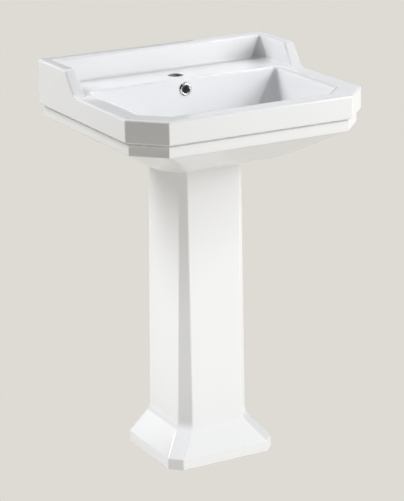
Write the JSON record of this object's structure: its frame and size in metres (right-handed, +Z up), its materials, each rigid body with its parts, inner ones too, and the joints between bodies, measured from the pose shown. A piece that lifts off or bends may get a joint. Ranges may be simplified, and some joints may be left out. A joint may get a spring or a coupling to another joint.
{
  "type": "pedestal sink",
  "caption": "Bathroom basin with a winged upstand, cut front corners and a stepped band, on a tapering open-backed pedestal, with overflow, push-to-close waste and bottle trap.",
  "frame": {"origin": "on the floor under the middle of the basin's plan, halfway between the wall plane and the front edge", "axes": "+Z up, +Y towards the wall behind the basin, +X to the right of a person facing it"},
  "size_m": [0.56, 0.483, 0.8885],
  "materials": {
    "glaze": "smooth white vitreous china glaze, glossy",
    "sealant": "white sanitary silicone, satin",
    "chrome": "polished chrome plate",
    "brass": "turned brass, lightly tarnished",
    "steel": "bright zinc-plated steel",
    "rubber": "black moulded rubber, matt",
    "nylon": "natural white nylon, matt"
  },
  "bodies": {
    "basin_set": {"basin": "glaze", "pedestal": "glaze", "bedding_seal": "sealant", "overflow_ring": "chrome", "waste_body": "chrome", "trap_inlet_nut": "chrome", "trap_inlet_tube": "chrome", "trap_collar_nut": "chrome", "trap_head": "chrome", "trap_cup": "chrome", "trap_outlet_nut": "chrome", "outlet_pipe": "chrome", "wall_flange": "chrome", "waste_back_nut": "brass", "plug_cartridge": "brass", "plug_spring": "steel", "wall_stud_left": "steel", "wall_stud_right": "steel", "wall_washer_left": "steel", "wall_washer_right": "steel", "wall_nut_left": "steel", "wall_nut_right": "steel", "waste_flange_seal": "rubber", "waste_lower_washer": "rubber", "trap_inlet_washer": "rubber", "trap_collar_seal": "rubber", "trap_cup_seal": "rubber", "trap_outlet_seal": "rubber", "wall_sleeve_left": "nylon", "wall_sleeve_right": "nylon"},
    "plug": {"plug_cap": "chrome", "plug_seal": "rubber", "plug_stem": "brass"}
  },
  "joints": [
    {"name": "plug_press", "type": "slide", "parent": "basin_set", "child": "plug", "axis": [0, 0, 1], "range_m": [-0.008, 0], "stiffness_N_per_m": 300, "springref_m": 0.02, "deforming": ["plug_spring"]}
  ]
}
